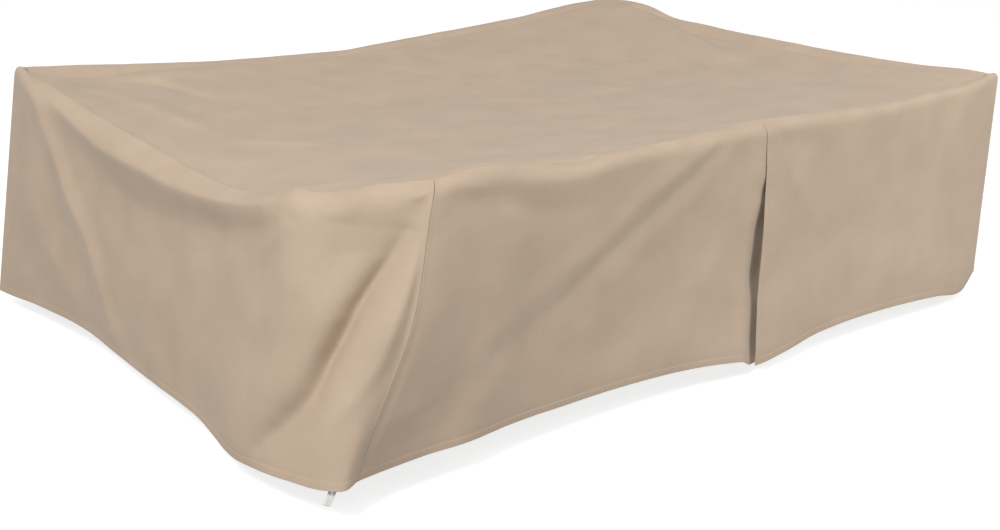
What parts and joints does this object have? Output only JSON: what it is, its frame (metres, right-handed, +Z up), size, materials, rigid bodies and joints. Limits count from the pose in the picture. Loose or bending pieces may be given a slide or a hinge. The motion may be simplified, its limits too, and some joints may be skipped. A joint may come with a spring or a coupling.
{
  "type": "patio dining set cover",
  "caption": "Fitted woven cover for a rectangular outdoor dining set, hanging hollow with a sagging top, draped skirts, a lapped side vent and a webbing tie.",
  "frame": {"origin": "on the underside of the middle of the top, where the cover rests on what it covers", "axes": "+X along the long side to the right, +Y from the vented long side to the far one, +Z up"},
  "size_m": [2.9431, 2.1524, 0.8202],
  "materials": {
    "cover_cloth": "matt beige woven polyester, coated on the inside",
    "webbing": "flat pale grey polyester webbing"
  },
  "bodies": {
    "root": {"top_left": "cover_cloth", "top_right": "cover_cloth", "front_left": "cover_cloth", "front_right": "cover_cloth", "end_right": "cover_cloth", "back": "cover_cloth", "end_left": "cover_cloth", "tie_1": "webbing", "tie_2": "webbing"}
  },
  "joints": []
}
